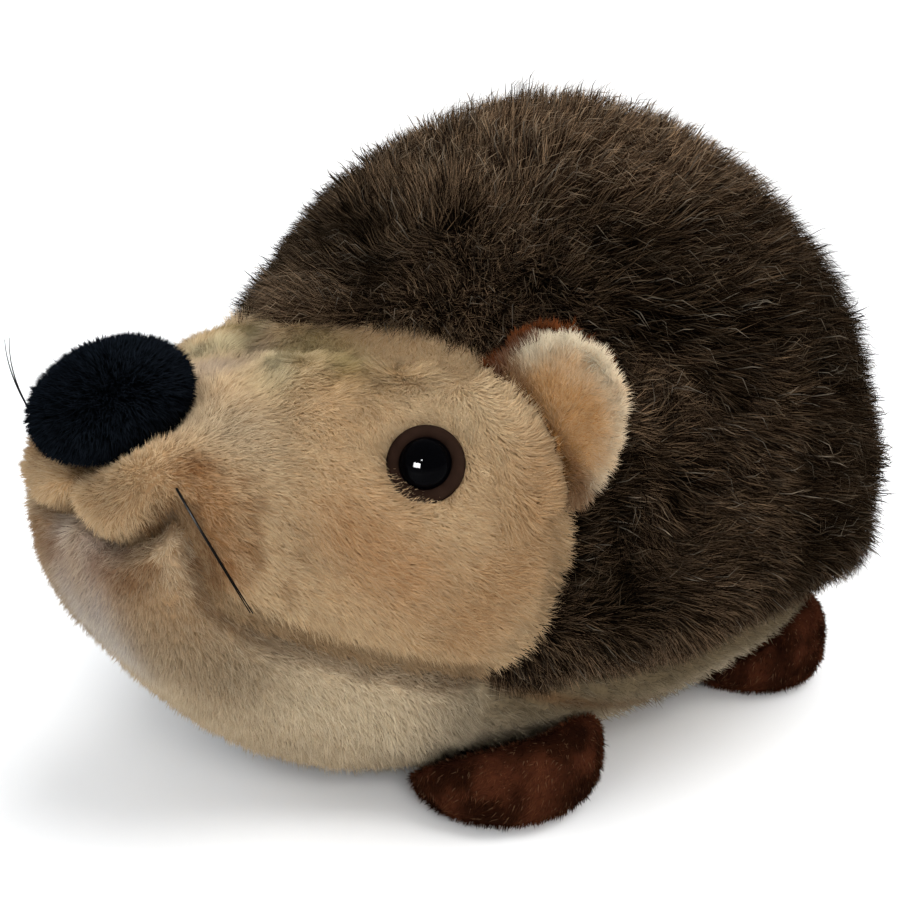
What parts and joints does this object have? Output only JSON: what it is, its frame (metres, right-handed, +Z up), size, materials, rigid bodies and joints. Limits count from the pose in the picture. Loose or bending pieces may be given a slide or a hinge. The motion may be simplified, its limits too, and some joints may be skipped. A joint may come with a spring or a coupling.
{
  "type": "plush hedgehog toy",
  "caption": "Stuffed plush hedgehog toy lying on its pad feet, with long brown pile on the back, a short-pile face and a raised snout.",
  "frame": {"origin": "on the floor, under the middle of the whole toy", "axes": "+Y runs from the nose to the rump, +X to the toy's left side, +Z up"},
  "size_m": [0.1576, 0.2064, 0.1408],
  "materials": {
    "coat_brown": "long dark brown pile with paler tips",
    "face_tan": "short tan pile, airbrushed darker round the mouth",
    "underside_cream": "short cream pile",
    "ear_sand": "sandy pile with pale tips",
    "plush_russet": "short dark russet pile",
    "nose_black": "dense black pile",
    "eye_ring": "satin dark brown plastic",
    "eye_black": "glossy black plastic",
    "whisker_thread": "black nylon thread"
  },
  "bodies": {
    "root": {"trunk": "coat_brown", "head": "face_tan", "chin": "underside_cream", "belly": "underside_cream", "nose": "nose_black", "ear_left_front": "ear_sand", "ear_right_front": "ear_sand", "ear_left_back": "plush_russet", "ear_right_back": "plush_russet", "eye_left_ring": "eye_ring", "eye_right_ring": "eye_ring", "eye_left_pupil": "eye_black", "eye_right_pupil": "eye_black", "paw_front_left": "plush_russet", "paw_front_right": "plush_russet", "paw_hind_left": "plush_russet", "paw_hind_right": "plush_russet", "whisker_left": "whisker_thread", "whisker_right": "whisker_thread"}
  },
  "joints": []
}
